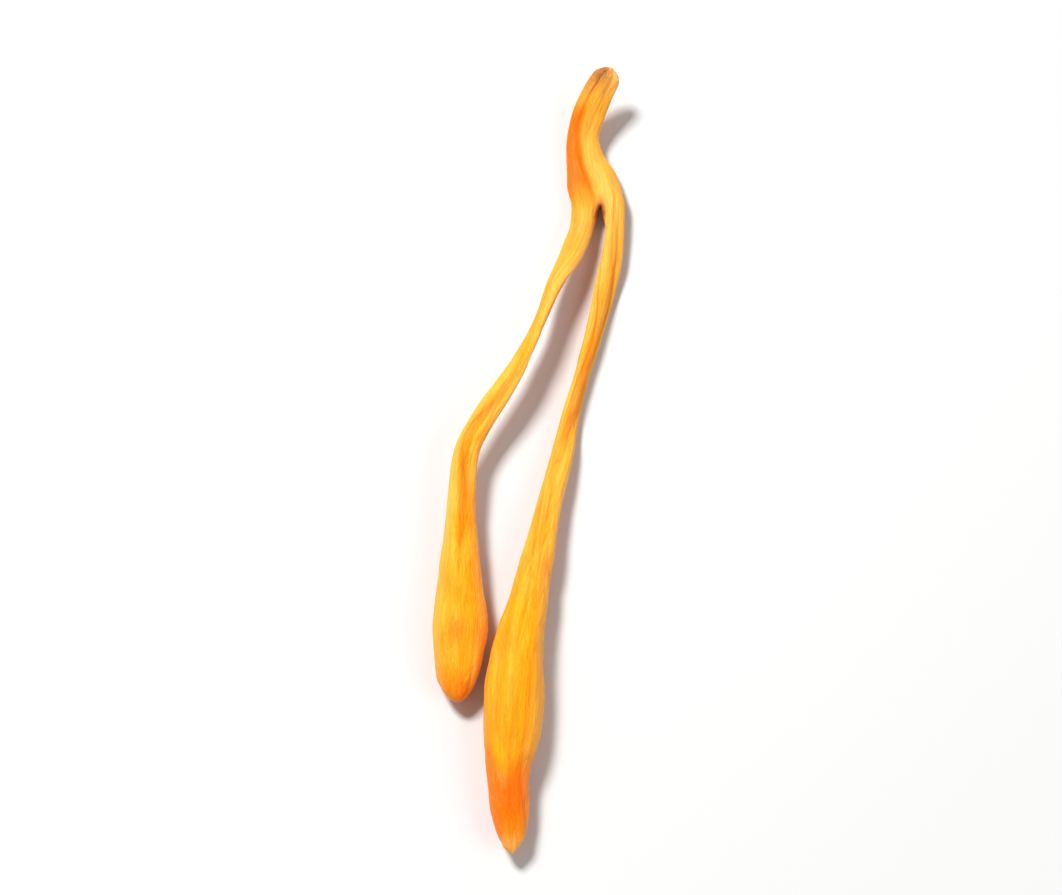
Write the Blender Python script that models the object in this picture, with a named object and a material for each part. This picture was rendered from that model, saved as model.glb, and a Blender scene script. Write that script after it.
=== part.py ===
"""Dried cordyceps: two club-shaped fruiting bodies that grew from one foot, lying on a surface.

The frame is in metres, +Z up. The foot is towards +Y and the heads are towards -Y. The origin is the centre
of the underside, on the surface that the piece lies on.
"""

import math

import bmesh
import bpy
from mathutils import Vector

MM = 0.001

# Driving dimensions in millimetres.
SECTION_SIDES = 22  # facets round a stalk
STEP_LENGTH = 1.0  # distance between cross-sections
NOSE_STEPS = 5  # cross-sections in a rounded end
FORK_GAP = 0.3  # clearance between the foot and each club
FURROW_COUNT = 3  # shallow lengthwise furrows from drying
FURROW_DEPTH = 0.05  # share of the half width
FURROW_TURN = 0.11  # how far the furrows turn round the stalk, in radians for each millimetre
FOOT_NOSE = 0.9  # length of the rounded tip of the foot
LEFT_NOSE = 2.9  # length of the rounded end of the left head
RIGHT_NOSE = 1.4  # length of the rounded end of the right head
DIRECTION_SHARE = 0.01  # the branch's direction is read over this share of its length, each way
SHARPEST_SMOOTH_EDGE = math.radians(50)

# Each station of a branch: centre x, y, z, then width and thickness in millimetres, then the roll of the
# flattened section in degrees.
FOOT = [
    (7.05, 36.2, 4.05, 2.2, 1.3, 30.0),
    (6.6, 35.4, 3.70, 2.6, 1.4, 28.0),
    (5.9, 34.3, 3.10, 2.8, 1.5, 22.0),
    (5.1, 32.8, 2.30, 2.9, 1.7, 12.0),
    (4.5, 30.6, 1.46, 2.9, 1.9, 3.0),
    (4.7, 28.4, 1.02, 3.6, 2.1, 0.0),
    (5.3, 26.2, 0.98, 4.8, 2.1, 0.0),
    (5.9, 24.0, 1.08, 5.1, 2.0, 0.0),
]
LEFT_CLUB = [
    (4.5, 24.0, 1.12, 2.2, 1.8, 0.0),
    (4.2, 21.2, 1.50, 2.1, 1.5, -4.0),
    (3.3, 18.4, 2.00, 2.2, 1.3, -12.0),
    (2.0, 15.4, 2.50, 2.2, 1.2, -45.0),
    (0.6, 11.4, 2.85, 2.1, 1.1, -58.0),
    (-1.4, 6.8, 2.95, 2.1, 1.1, -26.0),
    (-4.1, 2.2, 2.80, 2.1, 1.2, 8.0),
    (-5.6, -0.9, 2.60, 2.2, 1.5, 18.0),
    (-6.0, -5.4, 2.30, 2.6, 2.0, 10.0),
    (-6.1, -10.0, 2.02, 3.2, 2.6, 2.0),
    (-6.1, -14.0, 1.86, 4.1, 3.4, 0.0),
    (-6.1, -17.2, 1.80, 4.7, 3.9, 0.0),
    (-6.2, -19.8, 1.76, 4.2, 3.5, 0.0),
    (-6.3, -21.6, 1.70, 3.6, 3.1, 0.0),
    (-6.2, -23.7, 1.64, 2.9, 2.6, 0.0),
]
RIGHT_CLUB = [
    (7.4, 24.0, 1.12, 1.9, 1.7, 0.0),
    (7.2, 21.2, 1.15, 1.8, 1.5, 6.0),
    (6.9, 18.4, 1.12, 2.0, 1.3, 14.0),
    (6.3, 15.4, 1.05, 2.1, 1.2, 32.0),
    (5.4, 11.4, 1.00, 2.0, 1.2, 54.0),
    (4.2, 6.8, 1.00, 1.9, 1.2, 62.0),
    (3.1, 2.2, 1.10, 1.9, 1.3, 40.0),
    (2.5, -0.9, 1.30, 2.0, 1.5, 16.0),
    (1.4, -5.4, 1.65, 2.2, 1.8, 4.0),
    (0.5, -10.0, 1.90, 2.7, 2.3, 0.0),
    (-0.6, -15.6, 2.02, 3.6, 3.2, 0.0),
    (-1.25, -19.4, 2.02, 4.5, 3.9, 0.0),
    (-1.55, -23.4, 1.98, 5.2, 4.3, 0.0),
    (-1.8, -26.4, 1.93, 4.9, 4.0, 0.0),
    (-2.0, -28.4, 1.88, 4.3, 3.6, 2.0),
    (-2.1, -30.2, 1.80, 3.7, 3.1, 4.0),
    (-1.95, -32.6, 1.70, 3.5, 2.8, 6.0),
    (-1.75, -35.2, 1.62, 2.5, 2.0, 10.0),
    (-1.75, -37.1, 1.58, 1.3, 1.1, 12.0),
]


def clear_scene():
    for thing in list(bpy.data.objects):
        bpy.data.objects.remove(thing, do_unlink=True)


def flesh(name, colour, roughness):
    """A dry, slightly waxy skin."""
    material = bpy.data.materials.new(name)
    material.use_nodes = True
    shader = material.node_tree.nodes["Principled BSDF"]
    shader.inputs["Base Color"].default_value = (*colour, 1.0)
    shader.inputs["Roughness"].default_value = roughness
    shader.inputs["Metallic"].default_value = 0.0
    return material


def stations_along(stations):
    """Distance of each station from the first one, measured from centre to centre."""
    reached = [0.0]
    for before, after in zip(stations, stations[1:]):
        reached.append(reached[-1] + math.dist(before[:3], after[:3]))
    return reached


def read_branch(stations, reached, distance):
    """All six values at a distance along the branch, on a smooth curve through the stations."""
    last = len(stations) - 1
    i = 0
    while i < last - 1 and reached[i + 1] < distance:
        i += 1
    span = reached[i + 1] - reached[i]
    t = (distance - reached[i]) / span

    def slope(k, column):
        low, high = max(k - 1, 0), min(k + 1, last)
        return (stations[high][column] - stations[low][column]) / (reached[high] - reached[low])

    values = []
    for column in range(6):
        start, end = stations[i][column], stations[i + 1][column]
        leave, arrive = slope(i, column) * span, slope(i + 1, column) * span
        values.append(
            (2 * t**3 - 3 * t**2 + 1) * start
            + (t**3 - 2 * t**2 + t) * leave
            + (3 * t**2 - 2 * t**3) * end
            + (t**3 - t**2) * arrive
        )
    return values


def distances(length, nose_start, nose_end):
    """Where the cross-sections are: closer together in a rounded nose, and half the gap short of the fork."""
    marks = []
    if nose_start:
        marks += [nose_start * (1 - math.cos(0.5 * math.pi * k / NOSE_STEPS)) for k in range(NOSE_STEPS)]
    start = nose_start or FORK_GAP / 2
    end = length - (nose_end or FORK_GAP / 2)
    count = round((end - start) / STEP_LENGTH)
    marks += [start + (end - start) * k / count for k in range(count + 1)]
    if nose_end:
        rising = [nose_end * math.sin(0.5 * math.pi * k / NOSE_STEPS) for k in range(1, NOSE_STEPS + 1)]
        marks += [end + rise for rise in rising]
    return marks


def nose_factor(distance, length, nose_start, nose_end):
    """1 along the branch, falling to 0 on a quarter ellipse at a rounded end."""
    share = 0.0
    if nose_start and distance < nose_start:
        share = 1 - distance / nose_start
    if nose_end and distance > length - nose_end:
        share = 1 - (length - distance) / nose_end
    return math.sqrt(max(0.0, 1 - share * share))


def branch(name, stations, material, nose_start=0.0, nose_end=0.0):
    """One closed skin swept along the stations. An end with no nose is flat, and square to Y at the fork."""
    reached = stations_along(stations)
    length = reached[-1]
    mesh = bmesh.new()
    rings = []
    marks = distances(length, nose_start, nose_end)
    fork_mark = marks[-1] if nose_start else marks[0]
    for distance in marks:
        x, y, z, width, thickness, roll = read_branch(stations, reached, distance)
        step = DIRECTION_SHARE * length
        ahead = Vector(read_branch(stations, reached, min(distance + step, length))[:3])
        behind = Vector(read_branch(stations, reached, max(distance - step, 0.0))[:3])
        along = Vector((0, -1, 0)) if distance == fork_mark else (ahead - behind).normalized()
        side = along.cross(Vector((0, 0, 1))).normalized()
        up = side.cross(along)
        size = nose_factor(distance, length, nose_start, nose_end)
        centre = Vector((x, y, z))
        if size == 0.0:
            rings.append([mesh.verts.new(centre * MM)])
            continue
        ring = []
        for k in range(SECTION_SIDES):
            angle = 2 * math.pi * k / SECTION_SIDES
            furrow = 1 - FURROW_DEPTH * (0.5 + 0.5 * math.cos(FURROW_COUNT * angle + FURROW_TURN * distance))
            across = 0.5 * width * size * furrow * math.cos(angle)
            rise = 0.5 * thickness * size * furrow * math.sin(angle)
            turn = math.radians(roll)
            point = centre
            point = point + side * (across * math.cos(turn) - rise * math.sin(turn))
            point = point + up * (across * math.sin(turn) + rise * math.cos(turn))
            point.z = max(point.z, 0.0)
            ring.append(mesh.verts.new(point * MM))
        rings.append(ring)
    close_skin(mesh, rings)
    return finished(name, mesh, material)


def close_skin(mesh, rings):
    """Joins the rings, and closes a flat end with a fan."""
    for before, after in zip(rings, rings[1:]):
        for k in range(SECTION_SIDES):
            n = (k + 1) % SECTION_SIDES
            if len(before) == 1:
                mesh.faces.new((before[0], after[k], after[n]))
            elif len(after) == 1:
                mesh.faces.new((before[k], before[n], after[0]))
            else:
                mesh.faces.new((before[k], before[n], after[n], after[k]))
    for end in (rings[0], rings[-1]):
        if len(end) > 1:
            middle = mesh.verts.new(sum((corner.co for corner in end), Vector()) / len(end))
            for k in range(SECTION_SIDES):
                mesh.faces.new((end[k], end[(k + 1) % SECTION_SIDES], middle))
    bmesh.ops.triangulate(mesh, faces=mesh.faces)
    bmesh.ops.recalc_face_normals(mesh, faces=mesh.faces)


def finished(name, mesh, material):
    data = bpy.data.meshes.new(name)
    mesh.to_mesh(data)
    mesh.free()
    data.materials.append(material)
    data.shade_smooth()
    data.set_sharp_from_angle(angle=SHARPEST_SMOOTH_EDGE)
    thing = bpy.data.objects.new(name, data)
    bpy.context.scene.collection.objects.link(thing)
    return thing


def centre_underside(things):
    """Moves the whole piece so that the origin is the middle of its underside."""
    corners = [vertex.co for thing in things for vertex in thing.data.vertices]
    low = [min(corner[k] for corner in corners) for k in range(3)]
    high = [max(corner[k] for corner in corners) for k in range(3)]
    shift = Vector((-(low[0] + high[0]) / 2, -(low[1] + high[1]) / 2, -low[2]))
    for thing in things:
        for vertex in thing.data.vertices:
            vertex.co += shift


clear_scene()
foot_skin = flesh("foot_flesh", (0.80, 0.24, 0.02), 0.55)
club_skin = flesh("club_flesh", (0.90, 0.36, 0.03), 0.45)
centre_underside(
    [
        branch("foot", FOOT, foot_skin, nose_start=FOOT_NOSE),
        branch("left_club", LEFT_CLUB, club_skin, nose_end=LEFT_NOSE),
        branch("right_club", RIGHT_CLUB, club_skin, nose_end=RIGHT_NOSE),
    ]
)
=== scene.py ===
import math

import bpy
import numpy as np
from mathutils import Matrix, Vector


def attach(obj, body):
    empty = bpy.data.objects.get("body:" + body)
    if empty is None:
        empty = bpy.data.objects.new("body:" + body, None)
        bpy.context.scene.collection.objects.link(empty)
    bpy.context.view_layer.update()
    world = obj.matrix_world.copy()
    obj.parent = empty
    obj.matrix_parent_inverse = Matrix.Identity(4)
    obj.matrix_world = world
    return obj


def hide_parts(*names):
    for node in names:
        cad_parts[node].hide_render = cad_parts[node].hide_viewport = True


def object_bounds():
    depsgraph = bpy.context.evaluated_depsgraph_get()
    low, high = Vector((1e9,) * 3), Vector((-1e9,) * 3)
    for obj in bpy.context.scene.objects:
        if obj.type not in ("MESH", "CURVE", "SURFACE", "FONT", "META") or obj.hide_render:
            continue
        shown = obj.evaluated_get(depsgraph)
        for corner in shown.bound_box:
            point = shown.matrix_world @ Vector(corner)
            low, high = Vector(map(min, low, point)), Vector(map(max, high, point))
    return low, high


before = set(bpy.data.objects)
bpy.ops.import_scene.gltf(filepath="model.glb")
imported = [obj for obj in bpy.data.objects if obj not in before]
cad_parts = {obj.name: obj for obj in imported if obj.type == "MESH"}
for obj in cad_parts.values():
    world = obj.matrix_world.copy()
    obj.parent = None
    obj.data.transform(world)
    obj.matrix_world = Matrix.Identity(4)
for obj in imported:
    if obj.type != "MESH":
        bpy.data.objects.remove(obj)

# Lengths are in millimetres up to the meshes, which are in metres.
MM = 0.001
cad_low, cad_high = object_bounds()

# ---------------------------------------------------------------- the shape

# The same branches as the solids have. Each station is the centre x, y, z, the width and thickness of the
# section, and the roll of its flat side in degrees.
FOOT = [
    (7.05, 36.2, 4.05, 2.2, 1.3, 30.0),
    (6.6, 35.4, 3.70, 2.6, 1.4, 28.0),
    (5.9, 34.3, 3.10, 2.8, 1.5, 22.0),
    (5.1, 32.8, 2.30, 2.9, 1.7, 12.0),
    (4.5, 30.6, 1.46, 2.9, 1.9, 3.0),
    (4.7, 28.4, 1.02, 3.6, 2.1, 0.0),
    (5.3, 26.2, 0.98, 4.8, 2.1, 0.0),
    (5.9, 24.0, 1.08, 5.1, 2.0, 0.0),
]
LEFT_CLUB = [
    (4.5, 24.0, 1.12, 2.2, 1.8, 0.0),
    (4.2, 21.2, 1.50, 2.1, 1.5, -4.0),
    (3.3, 18.4, 2.00, 2.2, 1.3, -12.0),
    (2.0, 15.4, 2.50, 2.2, 1.2, -45.0),
    (0.6, 11.4, 2.85, 2.1, 1.1, -58.0),
    (-1.4, 6.8, 2.95, 2.1, 1.1, -26.0),
    (-4.1, 2.2, 2.80, 2.1, 1.2, 8.0),
    (-5.6, -0.9, 2.60, 2.2, 1.5, 18.0),
    (-6.0, -5.4, 2.30, 2.6, 2.0, 10.0),
    (-6.1, -10.0, 2.02, 3.2, 2.6, 2.0),
    (-6.1, -14.0, 1.86, 4.1, 3.4, 0.0),
    (-6.1, -17.2, 1.80, 4.7, 3.9, 0.0),
    (-6.2, -19.8, 1.76, 4.2, 3.5, 0.0),
    (-6.3, -21.6, 1.70, 3.6, 3.1, 0.0),
    (-6.2, -23.7, 1.64, 2.9, 2.6, 0.0),
]
RIGHT_CLUB = [
    (7.4, 24.0, 1.12, 1.9, 1.7, 0.0),
    (7.2, 21.2, 1.15, 1.8, 1.5, 6.0),
    (6.9, 18.4, 1.12, 2.0, 1.3, 14.0),
    (6.3, 15.4, 1.05, 2.1, 1.2, 32.0),
    (5.4, 11.4, 1.00, 2.0, 1.2, 54.0),
    (4.2, 6.8, 1.00, 1.9, 1.2, 62.0),
    (3.1, 2.2, 1.10, 1.9, 1.3, 40.0),
    (2.5, -0.9, 1.30, 2.0, 1.5, 16.0),
    (1.4, -5.4, 1.65, 2.2, 1.8, 4.0),
    (0.5, -10.0, 1.90, 2.7, 2.3, 0.0),
    (-0.6, -15.6, 2.02, 3.6, 3.2, 0.0),
    (-1.25, -19.4, 2.02, 4.5, 3.9, 0.0),
    (-1.55, -23.4, 1.98, 5.2, 4.3, 0.0),
    (-1.8, -26.4, 1.93, 4.9, 4.0, 0.0),
    (-2.0, -28.4, 1.88, 4.3, 3.6, 2.0),
    (-2.1, -30.2, 1.80, 3.7, 3.1, 4.0),
    (-1.95, -32.6, 1.70, 3.5, 2.8, 6.0),
    (-1.75, -35.2, 1.62, 2.5, 2.0, 10.0),
    (-1.75, -37.1, 1.58, 1.3, 1.1, 12.0),
]
LEFT_NOSE, RIGHT_NOSE = 2.9, 1.4  # length of the rounded end of each head
TIP_NOSE = 1.1  # length of the blunt tip of the foot
TIP_ROWS = 16  # rows of corners in that tip
NOSE_ROWS = 22  # rows of corners in the rounded end of a head
BORDER_AT = 6.4  # from the right head's point to the border of its shrunken end, in the middle
BORDER_BOW = 1.8  # how much farther up the border is at the sides
HOLLOW_AT = 5.7  # from the left head's end to the hollow on its upper side
FOOT_SIDES = 144  # corners round the foot, shared out between the stalks at the fork
WEB_SIDES = 23  # corners in the web between the stalks
ROW = 0.14  # distance between rows of corners
WEB_ANGLE = math.radians(32)  # half the part of a stalk's section that is web at the fork
WEB_REACH = 2.8  # how far from the fork a stalk becomes fully round
SQUARE_REACH = 1.6  # how far from the fork the sections turn square to the stalks
LOBE_REACH = 5.2  # how far up the foot the fork's two lobes begin
FORK_ROUNDS = 50  # how many times the skin round the fork is evened out
WAIST_ROUNDS = 14  # how many times the fork's section is rounded beside the web
WAIST_DIP = 0.08  # how far the web is drawn in at the fork, above and below
DIRECTION_STEP = 0.3  # a branch's direction is read this far ahead and behind
CRUMB_ROOM = 0.06  # height left under the top of the solids' box for the crumbs on the tip

# How deep the wrinkles of each kind are on the stalks, how deep on the heads, and how much deeper they are at
# the heads' ends.
MAIN_FURROW = (0.11, 0.03, 0.12)
FLUTE = (0.0, 0.09, 0.0)
THIN_FURROW = (0.028, 0.026, 0.04)
CRIMP = (0.007, 0.014, 0.03)
DENT = (0.08, 0.20, 0.0)
LUMP = (0.04, 0.07, 0.0)
BORDER_GROOVE = 0.05  # depth of the groove at the border of the shrunken end
DIMPLE = 0.10  # depth of the hollow in the left head
TEAR = (0.16, 0.10)  # height of the torn tip's ridges, and how far the tip is drawn in


def smoothstep(low, high, x):
    """Rises smoothly from 0 at low to 1 at high."""
    t = np.clip((x - low) / (high - low), 0.0, 1.0)
    return t * t * (3 - 2 * t)


def noise(points, seed):
    """Smooth three-dimensional noise from -1 to 1."""
    chance = np.random.RandomState(seed)
    table = np.tile(chance.permutation(256), 3)
    slopes = chance.normal(size=(256, 3))
    slopes /= np.linalg.norm(slopes, axis=1)[:, None]
    cell = np.floor(points).astype(int)
    inside = points - cell
    ease = inside**3 * (inside * (inside * 6 - 15) + 10)
    cell &= 255
    total = np.zeros(len(points))
    for corner in np.ndindex(2, 2, 2):
        pick = table[table[table[cell[:, 0] + corner[0]] + cell[:, 1] + corner[1]] + cell[:, 2] + corner[2]]
        share = np.prod(np.where(corner, ease, 1 - ease), axis=1)
        total += share * np.sum(slopes[pick] * (inside - corner), axis=1)
    return 1.5 * total


def reached_by(stations):
    """The distance along the branch to each of its stations."""
    steps = np.linalg.norm(np.diff(stations[:, :3], axis=0), axis=1)
    return np.concatenate([[0.0], np.cumsum(steps)])


def read_branch(stations, at):
    """The station values at each distance, on a smooth curve through the stations."""
    reached = reached_by(stations)
    count = len(stations)
    low = np.maximum(np.arange(count) - 1, 0)
    high = np.minimum(np.arange(count) + 1, count - 1)
    slope = (stations[high] - stations[low]) / (reached[high] - reached[low])[:, None]
    i = np.clip(np.searchsorted(reached, at, side="right") - 1, 0, count - 2)
    span = (reached[i + 1] - reached[i])[:, None]
    t = (at - reached[i])[:, None] / span
    return (
        (2 * t**3 - 3 * t**2 + 1) * stations[i]
        + (t**3 - 2 * t**2 + t) * span * slope[i]
        + (3 * t**2 - 2 * t**3) * stations[i + 1]
        + (t**3 - t**2) * span * slope[i + 1]
    )


FOOT_LENGTH = reached_by(np.array(FOOT))[-1]


def placed(stations, at, sections, fork_at):
    """Puts flat sections, as offsets across and up, square to the branch at each distance."""
    values = read_branch(stations, at)
    length = reached_by(stations)[-1]
    ahead = read_branch(stations, np.minimum(at + DIRECTION_STEP, length))[:, :3]
    behind = read_branch(stations, np.maximum(at - DIRECTION_STEP, 0.0))[:, :3]
    along = ahead - behind
    along /= np.linalg.norm(along, axis=1)[:, None]
    square = (1 - smoothstep(0.0, SQUARE_REACH, np.abs(at - fork_at)))[:, None]
    along = along * (1 - square) + np.array([0.0, -1.0, 0.0]) * square
    along /= np.linalg.norm(along, axis=1)[:, None]
    side = np.cross(np.array([0.0, 0.0, 1.0]), along)
    side /= np.linalg.norm(side, axis=1)[:, None]
    up = np.cross(along, side)
    turn = -np.radians(values[:, 5])[:, None]
    across, rise = sections[:, :, 0], sections[:, :, 1]
    turned_across = (across * np.cos(turn) - rise * np.sin(turn))[:, :, None]
    turned_rise = (across * np.sin(turn) + rise * np.cos(turn))[:, :, None]
    return values[:, None, :3] + turned_across * side[:, None] + turned_rise * up[:, None]


def fork_section():
    """The two-lobed section of the fork, from the foot's centre, and the web across its waist."""
    foot, left, right = FOOT[-1], LEFT_CLUB[0], RIGHT_CLUB[0]
    angle = 2 * np.pi * np.arange(FOOT_SIDES) / FOOT_SIDES
    quarter = FOOT_SIDES // 4
    wrap = (math.pi - WEB_ANGLE) / (math.pi / 2)
    outline = np.zeros((FOOT_SIDES, 2))
    on_right = (np.arange(FOOT_SIDES) <= quarter) | (np.arange(FOOT_SIDES) >= 3 * quarter)
    for stalk, chosen, facing in ((right, on_right, 0.0), (left, ~on_right, math.pi)):
        swing = (angle - facing + np.pi) % (2 * np.pi) - np.pi
        phi = facing + swing * wrap
        lobe = np.stack(
            [
                stalk[0] - foot[0] + 0.5 * stalk[3] * np.cos(phi),
                stalk[2] - foot[2] + 0.5 * stalk[4] * np.sin(phi),
            ],
            axis=1,
        )
        outline[chosen] = lobe[chosen]
    for pinch, sign in ((quarter, 1), (3 * quarter, -1)):
        waist = 0.5 * (outline[(pinch - 1) % FOOT_SIDES] + outline[(pinch + 1) % FOOT_SIDES])
        waist[1] -= sign * WAIST_DIP
        outline[pinch] = waist
    smooth_near_waist(outline, quarter)
    top, bottom = outline[quarter], outline[3 * quarter]
    share = (np.arange(1, WEB_SIDES + 1) / (WEB_SIDES + 1))[:, None]
    return outline, top + (bottom - top) * share


def smooth_near_waist(outline, quarter):
    """Rounds the section where the lobes meet the web."""
    index = np.arange(len(outline))
    from_waist = np.minimum(np.abs(index - quarter), np.abs(index - 3 * quarter))
    weight = (1 - smoothstep(2.0, 9.0, from_waist))[:, None]
    for _ in range(WAIST_ROUNDS):
        mean = 0.5 * (np.roll(outline, 1, axis=0) + np.roll(outline, -1, axis=0))
        outline += 0.6 * weight * (mean - outline)


def body_angles(right):
    """Angles round a stalk's section, first the part it shares with the foot, then the web."""
    half = FOOT_SIDES // 2
    reach = math.pi - WEB_ANGLE
    skin = np.linspace(-reach, reach, half + 1)
    web = reach + 2 * WEB_ANGLE * np.arange(1, WEB_SIDES + 1) / (WEB_SIDES + 1)
    angles = np.concatenate([skin, web])
    return angles if right else angles + math.pi


def fork_indices(right):
    """Which corners of the fork section a stalk's first ring is made of, then which web corners."""
    quarter, half = FOOT_SIDES // 4, FOOT_SIDES // 2
    if right:
        return (3 * quarter + np.arange(half + 1)) % FOOT_SIDES, np.arange(WEB_SIDES)
    return (quarter + np.arange(half + 1)) % FOOT_SIDES, np.arange(WEB_SIDES)[::-1]


def plain_sections(values, angles):
    """Flat elliptical sections with the width and thickness of the station values."""
    across = 0.5 * values[:, 3:4] * np.cos(angles)
    rise = 0.5 * values[:, 4:5] * np.sin(angles)
    return np.stack([across, rise], axis=2)


def wandering_fold(at, angles, depth, seed):
    """A lengthwise groove that wanders round the section: how much each corner is drawn in."""
    line = np.stack([at * 0.09, np.full_like(at, 3.7), np.full_like(at, 1.3)], axis=1)
    centre = 1.5 + 1.1 * noise(line, seed)
    swing = (angles[None, :] - centre[:, None] + np.pi) % (2 * np.pi) - np.pi
    return depth[:, None] * np.exp(-((swing / 0.42) ** 2))


def club_rows(stations, nose, right, outline, web, seed):
    """Sections of one club: flat offsets, distances, roundness, and the club's centre at the fork."""
    length = reached_by(stations)[-1]
    angles = body_angles(right)
    straight = np.arange(1, round((length - nose) / ROW) + 1) * ROW
    straight = straight[straight < length - nose]
    rounding = length - nose + nose * np.sin(0.5 * np.pi * np.arange(1, NOSE_ROWS) / NOSE_ROWS)
    at = np.concatenate([straight, rounding])
    values = read_branch(stations, at)
    share = np.clip((at - (length - nose)) / nose, 0.0, 1.0)
    size = np.sqrt(1 - share**2)
    stalk_share = 1 - smoothstep(2.2, 3.4, values[:, 3])
    fold = wandering_fold(at, angles, 0.06 + 0.24 * stalk_share, seed)
    fold += wandering_fold(at, angles + 2.6, 0.04 + 0.16 * stalk_share, seed + 1)
    unfolded = plain_sections(values, angles)
    sections = unfolded * ((1 - fold) * size[:, None])[:, :, None]
    start = stations[0]
    skin, web_order = fork_indices(right)
    centre = np.array([start[0] - FOOT[-1][0], start[2] - FOOT[-1][2]])
    first = np.concatenate([outline[skin], web[web_order]]) - centre
    # Where the stalks are joined, the folds fade out and the section becomes a lobe of the fork.
    bound = (1 - smoothstep(0.0, WEB_REACH, at))[:, None, None]
    lobe = first - plain_sections(start[None], angles)[0]
    sections = sections * (1 - bound) + unfolded * bound + bound * lobe
    return sections, at, size, centre


def foot_rows(outline, seed):
    """Sections of the foot from its blunt tip to the fork: flat offsets, distances and roundness."""
    length = FOOT_LENGTH
    angles = 2 * np.pi * np.arange(FOOT_SIDES) / FOOT_SIDES
    rounding = 0.5 * np.pi * np.arange(1, TIP_ROWS + 1) / TIP_ROWS
    straight = np.linspace(TIP_NOSE, length, round((length - TIP_NOSE) / ROW))[1:]
    at = np.concatenate([TIP_NOSE * (1 - np.cos(rounding)), straight])
    size = np.concatenate([np.sin(rounding), np.ones_like(straight)])
    values = read_branch(np.array(FOOT), at)
    fold = wandering_fold(at, angles, np.full_like(at, 0.20), seed)
    fold += wandering_fold(at, angles + 2.9, np.full_like(at, 0.12), seed + 1)
    sections = plain_sections(values, angles) * ((1 - fold) * size[:, None])[:, :, None]
    joined = smoothstep(length - LOBE_REACH, length, at)[:, None, None]
    spread = (values[:, 3] / FOOT[-1][3])[:, None, None]
    return sections * (1 - joined) + outline * spread * joined, at, size


def flesh_surface():
    """The whole fruiting body as one closed skin.

    Returns its corners, its faces, the fans that close its ends, each corner's grain coordinates (across, up
    and along the branch from the foot's tip), and each corner's branch, distance and roundness.
    """
    outline, web = fork_section()
    foot_sections, foot_at, foot_size = foot_rows(outline, 11)
    foot_length = foot_at[-1]
    stations = np.array(FOOT)
    foot_points = placed(stations, foot_at, foot_sections, foot_length)
    web_points = placed(stations, foot_at[-1:], web[None], foot_length)[0]
    tip = placed(stations, np.zeros(1), np.zeros((1, 1, 2)), foot_length)[0]

    points, grain, parts = [], [], []

    def add(rows, sections, offset, at, size, part):
        first = sum(len(block) for block in points)
        count = rows.shape[1]
        points.append(rows.reshape(-1, 3))
        across = sections + offset
        distance = np.repeat(at[:, None], count, axis=1)
        grain.append(np.concatenate([across, distance[:, :, None]], axis=2).reshape(-1, 3))
        kind = np.zeros((len(at), count, 3))
        kind[:, :, 0] = part
        kind[:, :, 1] = distance
        kind[:, :, 2] = size[:, None]
        parts.append(kind.reshape(-1, 3))
        return first + np.arange(len(at) * count).reshape(len(at), count)

    none = np.zeros(2)
    foot_rings = add(foot_points, foot_sections, none, foot_at, foot_size, 0)
    web_ring = add(web_points[None], web[None], none, foot_at[-1:], np.ones(1), 0)[0]
    faces = [ring_faces(foot_rings)]
    tip_corner = add(tip[None], np.zeros((1, 1, 2)), none, foot_at[:1], foot_size[:1], 0)[0, 0]
    caps = [fan(foot_rings[0][::-1], tip_corner)]
    clubs = ((False, LEFT_CLUB, LEFT_NOSE, 21), (True, RIGHT_CLUB, RIGHT_NOSE, 31))
    for right, branch, nose, seed in clubs:
        branch = np.array(branch)
        sections, at, size, centre = club_rows(branch, nose, right, outline, web, seed)
        rows = placed(branch, at, sections, 0.0)
        part = 2 if right else 1
        rings = add(rows, sections, centre, at + foot_length, size, part)
        skin, web_order = fork_indices(right)
        shared = np.concatenate([foot_rings[-1][skin], web_ring[web_order]])
        faces.append(ring_faces(np.concatenate([shared[None], rings])))
        end_at = reached_by(branch)[-1:]
        end = placed(branch, end_at, np.zeros((1, 1, 2)), 0.0)
        last = add(end, np.zeros((1, 1, 2)), centre, end_at + foot_length, np.zeros(1), part)[0, 0]
        caps.append(fan(rings[-1], last))
    return np.concatenate(points), np.concatenate(faces), caps, np.concatenate(grain), np.concatenate(parts)


def ring_faces(rings):
    """Four-cornered faces between rings that each close on themselves."""
    beside = np.roll(rings, -1, axis=1)
    quads = np.stack([rings[:-1], beside[:-1], beside[1:], rings[1:]], axis=-1)
    return quads.reshape(-1, 4)


def fan(ring, middle):
    """Three-cornered faces that close a ring round its middle corner."""
    return [(int(ring[k]), int(ring[(k + 1) % len(ring)]), int(middle)) for k in range(len(ring))]


def corner_normals(points, quads):
    """The outward direction at each corner."""
    cross = np.cross(points[quads[:, 2]] - points[quads[:, 0]], points[quads[:, 3]] - points[quads[:, 1]])
    normals = np.zeros_like(points)
    for k in range(4):
        for axis in range(3):
            normals[:, axis] += np.bincount(quads[:, k], cross[:, axis], minlength=len(points))
    length = np.linalg.norm(normals, axis=1)
    length[length == 0] = 1.0
    return normals / length[:, None]


def relax(points, quads, weight, rounds):
    """Evens out the surface where weight is not 0."""
    quads = quads[weight[quads].max(axis=1) > 0]
    sides = np.concatenate([quads[:, [k, (k + 1) % 4]] for k in range(4)])
    near, edges = np.unique(sides, return_inverse=True)
    edges = edges.reshape(-1, 2)
    edges = np.concatenate([edges, edges[:, ::-1]])
    count = np.bincount(edges[:, 0])
    moved, pull = points[near], weight[near, None]
    for _ in range(rounds):
        around = [np.bincount(edges[:, 0], moved[edges[:, 1], axis]) / count for axis in range(3)]
        moved += pull * (np.stack(around, axis=1) - moved)
    points[near] = moved


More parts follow.
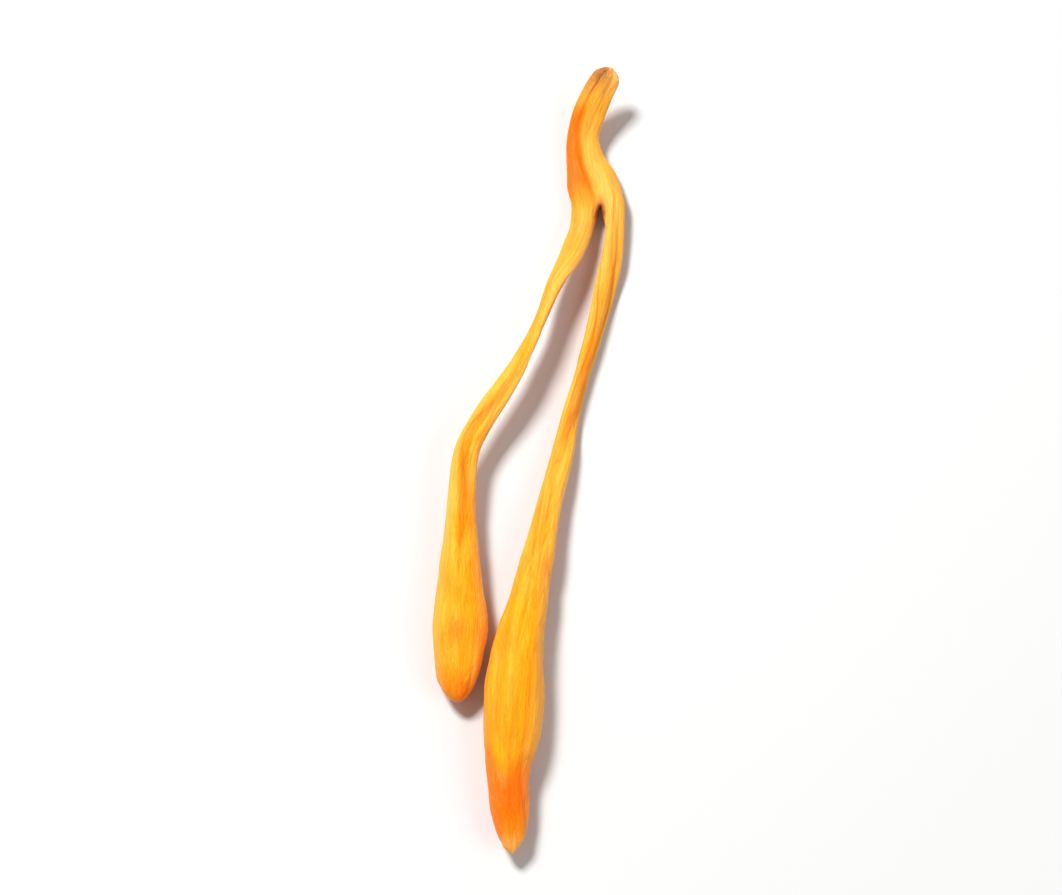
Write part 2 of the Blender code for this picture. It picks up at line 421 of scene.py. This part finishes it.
def branch_place(grain, parts):
    """The width of the branch at each corner, and the corner's place across and up it from -1 to 1."""
    part, distance, _ = parts.T
    width, thickness, centre = np.zeros((3, len(parts)))
    for number, branch in enumerate((FOOT, LEFT_CLUB, RIGHT_CLUB)):
        chosen = part == number
        stations = np.array(branch)
        start = FOOT_LENGTH if number else 0.0
        at = np.clip(distance[chosen] - start, 0.0, reached_by(stations)[-1])
        width[chosen], thickness[chosen] = read_branch(stations, at)[:, 3:5].T
        centre[chosen] = stations[0, 0] - FOOT[-1][0] if number else 0.0
    return width, 2 * (grain[:, 0] - centre) / width, 2 * grain[:, 1] / thickness


def past_border(grain, side, to_end):
    """How far each corner is from the border of the right head's shrunken end, towards the stalk."""
    return to_end - BORDER_AT - BORDER_BOW * side**2 - 0.9 * noise(grain * [0.55, 0.55, 0.1], 43)


def hollow(to_end, side, width):
    """1 in the middle of the left head's hollow, fading out round it."""
    along = (to_end - HOLLOW_AT) / 1.1
    across = (side + 0.05) / width
    return np.exp(-(along**2) - across**2)


def furrows(lanes, width, seed):
    """1 at the bottom of a furrow and 0 on the ridges, where the noise changes sign."""
    return (1 - np.clip(np.abs(noise(lanes, seed)) / width, 0, 1)) ** 1.7


def wrinkle(points, quads, grain, parts, to_end):
    """Dries the smooth body: lengthwise furrows, dents and puckers.

    Returns how deep in a furrow each corner is (also used to paint shade into the furrows), how much of a
    head it is, and how torn it is.
    """
    part, distance, roundness = parts.T
    foot, left, right = (part == number for number in range(3))
    width, side, _ = branch_place(grain, parts)
    head = smoothstep(2.4, 4.0, width) * ~foot
    stalk = 1 - head
    shrunken_end = head * (1 - smoothstep(1.5, 8.0, to_end)) * np.where(right, 1.0, 0.35)
    torn = foot * (1 - smoothstep(0.15, 1.3, distance + 0.5 * noise(grain * 1.1, 42)))
    ease = np.clip(roundness, 0.0, 1.0) ** 0.7  # the wrinkles fade out at the rounded ends

    def depth(kind):
        return kind[0] * stalk + kind[1] * head + kind[2] * shrunken_end

    # Noise that changes slowly along the branch makes lengthwise furrows.
    drift = 0.4 * noise(grain * [0.5, 0.5, 0.11], 5)[:, None]
    lanes = grain * [0.72, 0.72, 0.06] + drift
    main = furrows(lanes, 0.38, 1)
    flute = furrows(lanes * [0.72, 0.72, 1.2] + 2.6, 0.40, 8)
    thin = furrows(lanes * [3.0, 3.0, 2.4] + 7.1, 0.32, 2)
    crimp = furrows(grain * [2.2, 2.2, 0.9] + 4.4, 0.25, 6)
    dent = noise(grain * [0.42, 0.42, 0.16] + 1.7, 3)
    lump = noise(grain * [0.8, 0.8, 0.45] + 3.3, 4)
    pit = np.abs(noise(grain * [2.1, 2.1, 1.6] + 9.2, 7))
    beyond = past_border(grain, side, to_end)
    border = right * np.exp(-((beyond / 0.75) ** 2))
    dimple = left * hollow(to_end, side, 0.32) * (grain[:, 1] > 0)

    shift = depth(DENT) * dent + depth(LUMP) * lump
    shift -= depth(MAIN_FURROW) * main + depth(FLUTE) * flute
    shift -= depth(THIN_FURROW) * thin + depth(CRIMP) * crimp
    shift -= BORDER_GROOVE * border + DIMPLE * dimple
    shift += torn * (TEAR[0] * pit - TEAR[1])
    points += corner_normals(points, quads) * (shift * ease)[:, None]
    # This furrow depth also darkens the furrows in the material: painted shade.
    crease = (0.8 * main + 0.3 * thin) * (1 - 0.6 * head + 0.5 * shrunken_end) + 0.45 * head * flute
    return np.clip(crease, 0, 1), head, torn


def make_mesh(name, points, quads, caps, attributes):
    """A smooth object in metres, with the values that its material reads at each corner."""
    data = bpy.data.meshes.new(name)
    faces = [tuple(map(int, q)) for q in quads] + [face for cap in caps for face in cap]
    data.from_pydata((points * MM).tolist(), [], faces)
    data.shade_smooth()
    for key, values in attributes.items():
        kind = "FLOAT_VECTOR" if values.ndim == 2 else "FLOAT"
        layer = data.attributes.new(key, kind, "POINT")
        layer.data.foreach_set("vector" if values.ndim == 2 else "value", values.astype(np.float32).ravel())
    data.validate()
    data.update()
    thing = bpy.data.objects.new(name, data)
    bpy.context.scene.collection.objects.link(thing)
    return thing


def seated_in_frame(points):
    """The body centred on the solids' box, standing on the same surface and no higher than they are."""
    low, high = points.min(axis=0), points.max(axis=0)
    frame_low, frame_high = np.array(cad_low) / MM, np.array(cad_high) / MM
    seated = points + (frame_low + frame_high - low - high) / 2
    shrink = (frame_high[2] - frame_low[2] - CRUMB_ROOM) / high[2]
    seated[:, 2] = frame_low[2] + np.maximum(points[:, 2], 0.0) * min(shrink, 1.0)
    return seated


def tints(grain, parts, to_end):
    """Where the flesh is a deeper orange (partly painted shade), painted redder underneath, golden with a
    painted highlight, painted dark in the fork's crease, weathered, crumby or paler (partly painted sheen and
    light), from 0 to 1.
    """
    across, rise, from_tip = grain.T
    foot, left, right = (parts[:, 0] == number for number in range(3))
    _, side, height = branch_place(grain, parts)
    drift = noise(grain * [0.6, 0.6, 0.25], 41)

    shrunken = right * (1 - smoothstep(-1.3, 1.6, past_border(grain, side, to_end)))
    shrunken *= 0.45 + 0.55 * smoothstep(1.0, 4.5, to_end)
    left_end = left * (1 - smoothstep(0.5, 3.0, to_end + drift)) * 0.4
    # A deeper orange in the left head's hollow: painted shade.
    dimple = left * hollow(to_end, side, 0.35)
    # A deeper orange on the left flank of the foot: painted shade.
    flank_shade = smoothstep(-0.1, 0.7, -across)
    flank_shade *= smoothstep(2.5, 5.5, from_tip) * (1 - smoothstep(10.5, 15.0, from_tip))
    # A redder orange on the underside of the branches: painted shade.
    underside_shade = smoothstep(0.1, -0.8, height) * smoothstep(3.0, 6.0, from_tip)
    # A deeper orange along the right head's left edge: painted shade.
    left_edge_shade = right * smoothstep(-0.35, -0.95, side) * (1 - smoothstep(9.0, 17.0, to_end))
    # The shrunken ends are really a deeper orange; the hollow, flank and edge parts of this mask are painted
    # shade.
    deep = np.clip(shrunken + left_end + 0.55 * dimple + flank_shade + 0.5 * left_edge_shade, 0, 1)
    # A golden strip along the top of the foot: a painted highlight where the light falls on it.
    lit_ridge = np.exp(-(((across - 0.1 + 0.25 * drift) / 0.5) ** 2)) * smoothstep(-0.1, 0.5, rise)
    gold = lit_ridge * smoothstep(1.5, 4.0, from_tip) * (1 - smoothstep(8.0, 11.0, from_tip))

    # A dark brown in the crease of the fork between the stalks: painted shade.
    web_gap = np.hypot(across - 0.15, 0.45 * (from_tip - FOOT_LENGTH - 0.8))
    fork_shade = (1 - smoothstep(0.15, 0.85, web_gap)) * (1 - smoothstep(0.45, 0.85, np.abs(rise)))
    near_tip = 1 - smoothstep(0.6, 4.2, from_tip + 1.2 * drift)
    weathered = foot * near_tip * smoothstep(0.1, 1.0, -across + 0.5 * rise)
    crumbs = weathered * smoothstep(0.05, 0.5, noise(grain * 1.5, 44))

    pale_tip = foot * (1 - smoothstep(0.6, 3.6, from_tip)) * smoothstep(-0.8, 0.5, across)
    pale_end = right * (1 - smoothstep(0.2, 1.8, to_end))
    # Paler peach on the right side of the foot and of the stalks past the fork: painted light on the lit
    # side.
    onward = np.maximum(smoothstep(-0.6, 0.8, across), smoothstep(-0.5, 3.0, from_tip - FOOT_LENGTH))
    peach = onward * smoothstep(3.0, 7.0, from_tip) * (1 - smoothstep(13.0, 27.0, from_tip))
    upper = smoothstep(-0.4, 0.3, height)
    # Paler rims along the upper edges of the stalks and heads: painted sheen.
    sheen_rim = smoothstep(0.45, 0.95, np.abs(side)) * smoothstep(1.5, 6.0, from_tip - FOOT_LENGTH)
    sheen_rim *= 1 - 0.6 * right * smoothstep(0.0, -0.5, side)
    pale = np.clip(0.8 * pale_tip + 0.8 * pale_end + 0.42 * peach + 0.45 * sheen_rim * upper, 0, 1)
    return {
        "deep": deep,
        "underside_shade": underside_shade,
        "gold": gold,
        "fork_shade": fork_shade,
        "weathered": weathered,
        "crumbs": crumbs,
        "pale": pale,
    }


def fruiting_body():
    """The foot, the stalks and the heads as one dried skin."""
    points, quads, caps, grain, parts = flesh_surface()
    part, distance, _ = parts.T
    near_fork = 0.5 * (1 - smoothstep(0.8, 3.2, np.abs(distance - FOOT_LENGTH)))
    relax(points, quads, near_fork, FORK_ROUNDS)
    branch_ends = [FOOT_LENGTH + reached_by(np.array(branch))[-1] for branch in (LEFT_CLUB, RIGHT_CLUB)]
    ends = np.array([np.inf] + branch_ends)
    to_end = ends[part.astype(int)] - distance
    crease, head, torn = wrinkle(points, quads, grain, parts, to_end)
    points = seated_in_frame(points)
    attributes = {"grain": grain, "crease": crease, "head": head, "torn": torn}
    attributes.update(tints(grain, parts, to_end))
    return make_mesh("fruiting_body", points, quads, caps, attributes)


# ---------------------------------------------------------------- the materials


class Recipe:
    """Adds nodes to one material, each in one line."""

    def __init__(self, name):
        self.material = bpy.data.materials.new(name)
        self.material.use_nodes = True
        self.tree = self.material.node_tree
        self.shader = self.tree.nodes["Principled BSDF"]

    def put(self, node, socket, value):
        if hasattr(value, "is_linked"):
            self.tree.links.new(value, node.inputs[socket])
        else:
            node.inputs[socket].default_value = value

    def place(self):
        return self.tree.nodes.new("ShaderNodeTexCoord").outputs["Object"]

    def attribute(self, name, output="Fac"):
        node = self.tree.nodes.new("ShaderNodeAttribute")
        node.attribute_name = name
        return node.outputs[output]

    def scaled(self, vector, scale):
        node = self.tree.nodes.new("ShaderNodeMapping")
        self.put(node, "Vector", vector)
        node.inputs["Scale"].default_value = scale
        return node.outputs["Vector"]

    def noise(self, vector, scale=1.0, detail=3.0, roughness=0.55):
        node = self.tree.nodes.new("ShaderNodeTexNoise")
        self.put(node, "Vector", vector)
        self.put(node, "Scale", scale)
        self.put(node, "Detail", detail)
        self.put(node, "Roughness", roughness)
        return node.outputs["Fac"]

    def pebbles(self, vector, scale):
        node = self.tree.nodes.new("ShaderNodeTexVoronoi")
        node.feature = "SMOOTH_F1"
        self.put(node, "Vector", vector)
        self.put(node, "Scale", scale)
        return self.maths("SUBTRACT", 1.0, node.outputs["Distance"])

    def lines(self, noise, width):
        """1 on the thin lines where the noise crosses its middle, 0 between them."""
        off = self.maths("ABSOLUTE", self.maths("SUBTRACT", noise, 0.5), 0.0)
        return self.ramp(off, 0.0, width, 1.0, 0.0)

    def ramp(self, factor, low, high, out_low=0.0, out_high=1.0):
        node = self.tree.nodes.new("ShaderNodeMapRange")
        node.interpolation_type = "SMOOTHSTEP"
        self.put(node, "Value", factor)
        node.inputs["From Min"].default_value = low
        node.inputs["From Max"].default_value = high
        node.inputs["To Min"].default_value = out_low
        node.inputs["To Max"].default_value = out_high
        return node.outputs["Result"]

    def maths(self, operation, a, b):
        node = self.tree.nodes.new("ShaderNodeMath")
        node.operation = operation
        self.put(node, 0, a)
        self.put(node, 1, b)
        return node.outputs[0]

    def mix(self, factor, a, b, blend="MIX"):
        node = self.tree.nodes.new("ShaderNodeMix")
        node.data_type = "RGBA"
        node.blend_type = blend
        for socket, value in ((0, factor), (6, a), (7, b)):
            if not hasattr(value, "is_linked") and socket != 0:
                value = (*value, 1.0)
            self.put(node, socket, value)
        return node.outputs[2]

    def bump(self, height, strength, distance, normal=None):
        node = self.tree.nodes.new("ShaderNodeBump")
        node.inputs["Strength"].default_value = strength
        node.inputs["Distance"].default_value = distance
        self.put(node, "Height", height)
        if normal is not None:
            self.put(node, "Normal", normal)
        return node.outputs["Normal"]


# The colours of the dried skin, and the colours of the shade, highlight and sheen painted into it.
STALK_PEACH = (1.0, 0.47, 0.045)
STALK_AMBER = (1.0, 0.39, 0.010)
HEAD_GOLD = (1.0, 0.43, 0.006)
HEAD_AMBER = (1.0, 0.36, 0.003)
RIDGE_HIGHLIGHT_GOLD = (1.0, 0.46, 0.035)
PALE_STREAK = (1.0, 0.50, 0.06)
DARK_STREAK = (0.95, 0.19, 0.003)
PLEAT_SHADE_ORANGE = (0.95, 0.20, 0.003)
DEEP_ORANGE_AND_SHADE = (0.97, 0.17, 0.001)
FURROW_SHADE_RED = (0.88, 0.12, 0.001)
UNDERSIDE_SHADE_RED = (0.90, 0.15, 0.001)
PALE_PEACH_AND_SHEEN = (1.0, 0.52, 0.14)
SPECK_BROWN = (0.66, 0.13, 0.004)
TORN_TAN = (0.85, 0.50, 0.22)
WEATHERED_BROWN = (0.40, 0.155, 0.045)
FORK_SHADE_BROWN = (0.27, 0.06, 0.012)


def dried_flesh():
    """Waxy orange skin: peach-gold stalks, golden heads, painted shade in the furrows and a deeper orange at
    the far end.
    """
    r = Recipe("dried_flesh")
    grain = r.attribute("grain", "Vector")
    crease = r.attribute("crease")
    head = r.attribute("head")

    # The grain runs along the branches in millimetres, so a small last number stretches a pattern lengthwise.
    patches = r.noise(r.scaled(grain, (0.30, 0.30, 0.12)), detail=4.0)
    streaks = r.noise(r.scaled(grain, (1.7, 1.7, 0.12)), detail=4.0)
    fibres = r.noise(r.scaled(grain, (11.0, 11.0, 0.8)), detail=3.0)
    specks = r.noise(r.scaled(grain, (3.0, 3.0, 2.6)), detail=5.0, roughness=0.7)
    pleats = r.lines(r.noise(r.scaled(grain, (2.2, 2.2, 0.22)), detail=1.0), 0.10)
    puckers = r.lines(r.noise(r.scaled(grain, (2.6, 2.6, 1.1)), detail=1.0), 0.11)
    faint = r.maths("MULTIPLY", puckers, r.ramp(patches, 0.45, 0.6))

    stalk = r.mix(r.ramp(patches, 0.40, 0.62), STALK_PEACH, STALK_AMBER)
    golden = r.mix(r.ramp(patches, 0.42, 0.68), HEAD_GOLD, HEAD_AMBER)
    colour = r.mix(head, stalk, golden)
    # Golden strip on the foot's top: painted highlight.
    colour = r.mix(r.attribute("gold"), colour, RIDGE_HIGHLIGHT_GOLD)
    colour = r.mix(r.ramp(streaks, 0.52, 0.74, 0.0, 0.30), colour, PALE_STREAK)
    colour = r.mix(r.ramp(streaks, 0.46, 0.28, 0.0, 0.24), colour, DARK_STREAK)
    # Deeper orange along the pleat grooves: painted shade.
    colour = r.mix(r.maths("MULTIPLY", pleats, 0.22), colour, PLEAT_SHADE_ORANGE)
    # Deeper orange: the real colour of the shrunken ends, plus painted shade on the foot's flank, the right
    # head's left edge and the left head's hollow.
    colour = r.mix(r.attribute("deep"), colour, DEEP_ORANGE_AND_SHADE)
    # Redder furrows: painted shade in the creases.
    colour = r.mix(r.maths("MULTIPLY", crease, 0.46), colour, FURROW_SHADE_RED)
    # Redder underside: painted shade.
    colour = r.mix(r.maths("MULTIPLY", r.attribute("underside_shade"), 0.6), colour, UNDERSIDE_SHADE_RED)
    # Paler peach: the real pale tips of the foot and the right head, plus painted sheen on the rims and
    # painted light on the right side.
    colour = r.mix(r.maths("MULTIPLY", r.attribute("pale"), 0.7), colour, PALE_PEACH_AND_SHEEN)
    colour = r.mix(r.ramp(specks, 0.66, 0.80, 0.0, 0.35), colour, SPECK_BROWN)
    colour = r.mix(r.maths("MULTIPLY", r.attribute("torn"), 0.5), colour, TORN_TAN)
    blotch = r.ramp(specks, 0.2, 0.55, 0.45, 1.0)
    colour = r.mix(r.maths("MULTIPLY", r.attribute("weathered"), blotch), colour, WEATHERED_BROWN)
    # Dark brown in the fork's crease: painted shade, broken up by the speck noise.
    colour = r.mix(r.maths("MULTIPLY", r.attribute("fork_shade"), blotch), colour, FORK_SHADE_BROWN)
    r.put(r.shader, "Base Color", colour)

    r.put(r.shader, "Roughness", r.ramp(r.maths("ADD", fibres, crease), 0.3, 1.4, 0.34, 0.60))
    r.shader.inputs["Subsurface Weight"].default_value = 0.5
    r.shader.inputs["Subsurface Radius"].default_value = (1.0, 0.36, 0.06)
    r.shader.inputs["Subsurface Scale"].default_value = 0.0009
    r.shader.inputs["Specular IOR Level"].default_value = 0.15
    r.shader.inputs["Specular Tint"].default_value = (1.0, 0.80, 0.50, 1.0)
    r.shader.inputs["Sheen Weight"].default_value = 0.10
    r.shader.inputs["Sheen Roughness"].default_value = 0.45
    r.shader.inputs["Sheen Tint"].default_value = (1.0, 0.58, 0.16, 1.0)
    relief = r.bump(fibres, 0.4, 0.00005)
    relief = r.bump(specks, 0.35, 0.00009, relief)
    relief = r.bump(r.maths("MULTIPLY", r.pebbles(grain, 6.0), head), 0.45, 0.00004, relief)
    relief = r.bump(r.maths("MULTIPLY", faint, -1.0), 0.30, 0.00004, relief)
    relief = r.bump(r.maths("MULTIPLY", pleats, -1.0), 0.40, 0.00007, relief)
    r.put(r.shader, "Normal", relief)
    return r.material


def dry_medium():
    """Brown crumbs of the dried growing medium, matt and uneven in tone."""
    r = Recipe("dry_medium")
    tone = r.noise(r.place(), scale=3000.0, detail=2.0)
    r.put(r.shader, "Base Color", r.mix(tone, (0.34, 0.12, 0.03), (0.62, 0.30, 0.10)))
    r.put(r.shader, "Roughness", r.ramp(tone, 0.3, 0.7, 0.7, 0.9))
    r.shader.inputs["Specular IOR Level"].default_value = 0.15
    r.put(r.shader, "Normal", r.bump(tone, 0.4, 0.00002))
    return r.material


def floor_paint():
    r = Recipe("pale_floor")
    r.shader.inputs["Base Color"].default_value = (0.70, 0.70, 0.695, 1.0)
    r.shader.inputs["Roughness"].default_value = 0.7
    return r.material


# ---------------------------------------------------------------- the crumbs on the tip


class Growth:
    """A Geometry Nodes tree that scatters one small shape over a skin."""

    def __init__(self, name, sizes):
        self.tree = bpy.data.node_groups.new(name, "GeometryNodeTree")
        self.interface = self.tree.interface
        self.interface.new_socket("Skin", in_out="INPUT", socket_type="NodeSocketGeometry")
        self.sockets = {}
        for label, value in sizes.items():
            kind = "NodeSocketInt" if isinstance(value, int) else "NodeSocketFloat"
            self.sockets[label] = self.interface.new_socket(label, in_out="INPUT", socket_type=kind)
        self.sockets["Material"] = self.interface.new_socket(
            "Material", in_out="INPUT", socket_type="NodeSocketMaterial"
        )
        self.interface.new_socket("Grown", in_out="OUTPUT", socket_type="NodeSocketGeometry")
        self.start = self.tree.nodes.new("NodeGroupInput")
        self.sizes = sizes

    def given(self, label):
        return self.start.outputs[label]

    def node(self, kind, inputs=None, **settings):
        node = self.tree.nodes.new(kind)
        for key, value in settings.items():
            setattr(node, key, value)
        for socket, value in (inputs or {}).items():
            if hasattr(value, "is_linked"):
                self.tree.links.new(value, node.inputs[socket])
            else:
                node.inputs[socket].default_value = value
        return node

    def maths(self, operation, a, b):
        return self.node("ShaderNodeMath", {0: a, 1: b}, operation=operation).outputs[0]

    def vector(self, x, y, z):
        return self.node("ShaderNodeCombineXYZ", {"X": x, "Y": y, "Z": z}).outputs[0]

    def between(self, low, high, seed):
        """A random number for each point."""
        inputs = {2: low, 3: high, "Seed": seed}
        return self.node("FunctionNodeRandomValue", inputs, data_type="FLOAT").outputs[1]

    def scatter(self, shape, mask, flatten=1.0):
        """Puts copies of the shape on the skin where the mask is, each turned and sized by chance."""
        where = self.node("GeometryNodeInputNamedAttribute", {"Name": mask}, data_type="FLOAT")
        density = self.maths("MULTIPLY", where.outputs["Attribute"], self.given("Per square metre"))
        points = self.node(
            "GeometryNodeDistributePointsOnFaces",
            {"Mesh": self.given("Skin"), "Density": density, "Seed": self.given("Seed")},
        )
        spin = self.vector(0.0, 0.0, self.between(0.0, 2 * math.pi, 3))
        turned = self.node(
            "FunctionNodeRotateRotation",
            {"Rotation": points.outputs["Rotation"], "Rotate By": spin},
            rotation_space="LOCAL",
        )
        size = self.between(self.given("Smallest"), 1.0, 7)
        wide = self.maths("MULTIPLY", size, self.between(0.6, 1.5, 8))
        scale = self.vector(wide, size, self.maths("MULTIPLY", size, flatten))
        placed_shapes = self.node(
            "GeometryNodeInstanceOnPoints",
            {
                "Points": points.outputs["Points"],
                "Instance": shape,
                "Rotation": turned.outputs[0],
                "Scale": scale,
            },
        )
        real = self.node("GeometryNodeRealizeInstances", {"Geometry": placed_shapes.outputs[0]})
        smooth = self.node("GeometryNodeSetShadeSmooth", {"Geometry": real.outputs[0]})
        finish = self.node(
            "GeometryNodeSetMaterial", {"Geometry": smooth.outputs[0], "Material": self.given("Material")}
        )
        out = self.tree.nodes.new("NodeGroupOutput")
        self.tree.links.new(finish.outputs[0], out.inputs[0])

    def grow(self, name, skin, material):
        """Runs the tree on a copy of the skin and keeps the result as a plain mesh."""
        host = bpy.data.objects.new(name + "_host", skin.data.copy())
        bpy.context.scene.collection.objects.link(host)
        modifier = host.modifiers.new("grow", "NODES")
        modifier.node_group = self.tree
        for label, value in self.sizes.items():
            modifier[self.sockets[label].identifier] = value
        modifier[self.sockets["Material"].identifier] = material
        host.update_tag()
        graph = bpy.context.evaluated_depsgraph_get()
        data = bpy.data.meshes.new_from_object(host.evaluated_get(graph), depsgraph=graph)
        host.modifiers.remove(modifier)
        bpy.data.objects.remove(host, do_unlink=True)
        data.name = name
        thing = bpy.data.objects.new(name, data)
        bpy.context.scene.collection.objects.link(thing)
        return thing


def medium_crumbs(skin):
    """Specks of the dried growing medium on the weathered side of the tip."""
    sizes = {
        "Per square metre": 2.2e8,
        "Seed": 5,
        "Radius": 0.00004,
        "Smallest": 0.25,
        "Lumps per metre": 14000.0,
    }
    growth = Growth("medium_crumbs", sizes)
    radius = growth.given("Radius")
    crumb = growth.node("GeometryNodeMeshIcoSphere", {"Radius": radius, "Subdivisions": 2}).outputs[0]
    lumps = growth.node("ShaderNodeTexNoise", {"Scale": growth.given("Lumps per metre"), "Detail": 1.0})
    rough = growth.maths("MULTIPLY", growth.maths("SUBTRACT", lumps.outputs["Fac"], 0.5), radius)
    normal = growth.node("GeometryNodeInputNormal").outputs[0]
    push = growth.node("ShaderNodeVectorMath", {0: normal, "Scale": rough}, operation="SCALE").outputs[0]
    broken = growth.node("GeometryNodeSetPosition", {"Geometry": crumb, "Offset": push}).outputs[0]
    growth.scatter(broken, "crumbs", flatten=0.5)
    return growth.grow("medium_crumbs", skin, dry_medium())


# ---------------------------------------------------------------- the setting


FLOOR_REACH = 3.0
FLOOR_DROP = 0.00002  # how far the floor is under the part, so that the two never share a plane
AIR_LIGHT = 0.27
LAMPS = (  # name, place, width and power
    ("key_light", (-0.24, 0.24, 0.48), 0.16, 4.4),
    ("fill_light", (0.45, -0.25, 0.40), 0.40, 1.35),
)


def studio():
    """A pale floor, soft light from the far left, and a weaker light from the near right."""
    data = bpy.data.meshes.new("floor")
    corners = [(x * FLOOR_REACH, y * FLOOR_REACH, 0) for x, y in ((-1, -1), (1, -1), (1, 1), (-1, 1))]
    data.from_pydata(corners, [], [(0, 1, 2, 3)])
    data.materials.append(floor_paint())
    floor = bpy.data.objects.new("floor", data)
    floor.location.z = cad_low[2] - FLOOR_DROP
    bpy.context.scene.collection.objects.link(floor)

    world = bpy.data.worlds.new("studio_air")
    bpy.context.scene.world = world
    world.use_nodes = True
    air = world.node_tree.nodes["Background"]
    air.inputs["Color"].default_value = (1.0, 1.0, 1.0, 1.0)
    air.inputs["Strength"].default_value = AIR_LIGHT
    for name, place, size, power in LAMPS:
        lamp = bpy.data.lights.new(name, "AREA")
        lamp.size = size
        lamp.energy = power
        light = bpy.data.objects.new(name, lamp)
        light.location = place
        light.rotation_euler = (-Vector(place)).to_track_quat("-Z", "Y").to_euler()
        bpy.context.scene.collection.objects.link(light)


CAMERA_HEIGHT = math.radians(64)  # above the horizon
CAMERA_LENS = 150.0
VIEW_HEIGHT = 0.0765  # how much of the scene fits between the frame's lower and upper edge
FRAME_SHAPE = 895 / 1062  # the frame's height over its width


def camera():
    data = bpy.data.cameras.new("camera")
    data.lens = CAMERA_LENS
    thing = bpy.data.objects.new("camera", data)
    bpy.context.scene.collection.objects.link(thing)
    middle = (Vector(cad_low) + Vector(cad_high)) / 2
    distance = VIEW_HEIGHT * data.lens / (data.sensor_width * FRAME_SHAPE)
    away = Vector((0.0, -math.cos(CAMERA_HEIGHT), math.sin(CAMERA_HEIGHT)))
    thing.location = middle + away * distance
    thing.rotation_euler = (-away).to_track_quat("-Z", "Y").to_euler()
    data.clip_start = 0.01
    bpy.context.scene.camera = thing


bpy.context.scene.view_settings.view_transform = "Standard"
body = fruiting_body()
body.data.materials.append(dried_flesh())
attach(body, "root")
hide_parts("foot", "left_club", "right_club")
crumbs = medium_crumbs(body)
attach(crumbs, "root")
studio()
camera()
